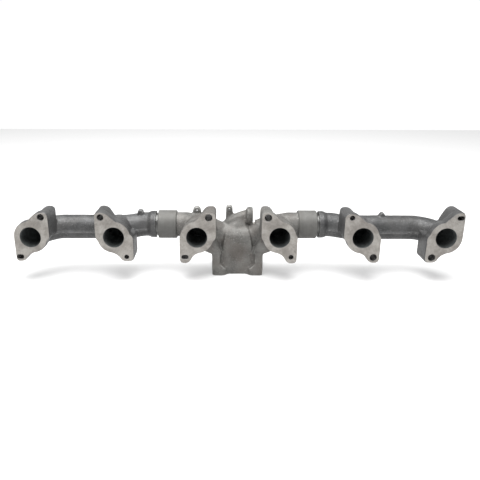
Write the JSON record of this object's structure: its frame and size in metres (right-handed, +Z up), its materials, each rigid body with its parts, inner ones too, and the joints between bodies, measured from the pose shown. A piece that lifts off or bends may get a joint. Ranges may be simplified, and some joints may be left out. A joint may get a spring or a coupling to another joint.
{
  "type": "exhaust manifold",
  "caption": "Three-piece cast log exhaust manifold for an inline-six diesel, with slip joints, downward turbine flange and small top outlet.",
  "frame": {"origin": "middle of the turbine flange's lower face, on the divider between its two inlets", "axes": "+X along the engine from port 1 to port 6, +Y away from the cylinder head, +Z up, so the turbine flange faces -Z and the ports face -Y"},
  "size_m": [0.8917, 0.125, 0.1478],
  "materials": {
    "centre_iron": "shot-blasted casting, machined faces",
    "end_iron": "dark as-cast skin, machined faces",
    "turned_steel": "turned",
    "ring_iron": "ground"
  },
  "bodies": {
    "centre": {"centre_section": "centre_iron", "left_slip_sleeve": "turned_steel", "right_slip_sleeve": "turned_steel"},
    "left_rings": {"left_seal_ring_1": "ring_iron", "left_seal_ring_2": "ring_iron", "left_seal_ring_3": "ring_iron"},
    "left_end": {"left_end_section": "end_iron"},
    "right_rings": {"right_seal_ring_1": "ring_iron", "right_seal_ring_2": "ring_iron", "right_seal_ring_3": "ring_iron"},
    "right_end": {"right_end_section": "end_iron"}
  },
  "joints": [
    {"name": "left_expansion", "type": "slide", "parent": "centre", "child": "left_rings", "axis": [-1, 0, 0], "range_m": [-0.0042, 0.005]},
    {"name": "left_turn", "type": "hinge", "parent": "left_rings", "child": "left_end", "pos_m": [-0.171, 0, 0.0992], "axis": [-1, 0, 0], "continuous": true},
    {"name": "right_expansion", "type": "slide", "parent": "centre", "child": "right_rings", "axis": [1, 0, 0], "range_m": [-0.0042, 0.005]},
    {"name": "right_turn", "type": "hinge", "parent": "right_rings", "child": "right_end", "pos_m": [0.171, 0, 0.0992], "axis": [1, 0, 0], "continuous": true}
  ]
}
